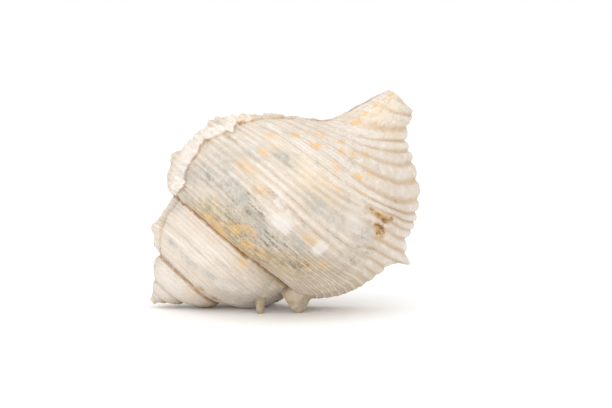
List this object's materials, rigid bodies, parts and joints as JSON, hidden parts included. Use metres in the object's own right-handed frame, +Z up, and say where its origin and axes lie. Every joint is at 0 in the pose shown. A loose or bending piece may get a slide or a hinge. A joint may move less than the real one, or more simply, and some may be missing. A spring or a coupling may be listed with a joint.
{
  "type": "conch shell",
  "caption": "Worn spiral sea shell with a low spire, a round corded body whorl, ridge-like varices, a fluted flared lip, a wide aperture and a short canal, resting on its side.",
  "frame": {"origin": "Middle of the footprint of the bounding box, on the ground that the shell rests on", "axes": "+Z is up. The spire points to -X and the canal to +X and up. The back of the body whorl faces -Y and the aperture +Y."},
  "size_m": [0.0686, 0.0524, 0.0551],
  "materials": {
    "shell": "worn chalky shell with a satin sheen, cream to grey with tan and rust stains"
  },
  "bodies": {
    "root": {"shell": "shell"}
  },
  "joints": []
}
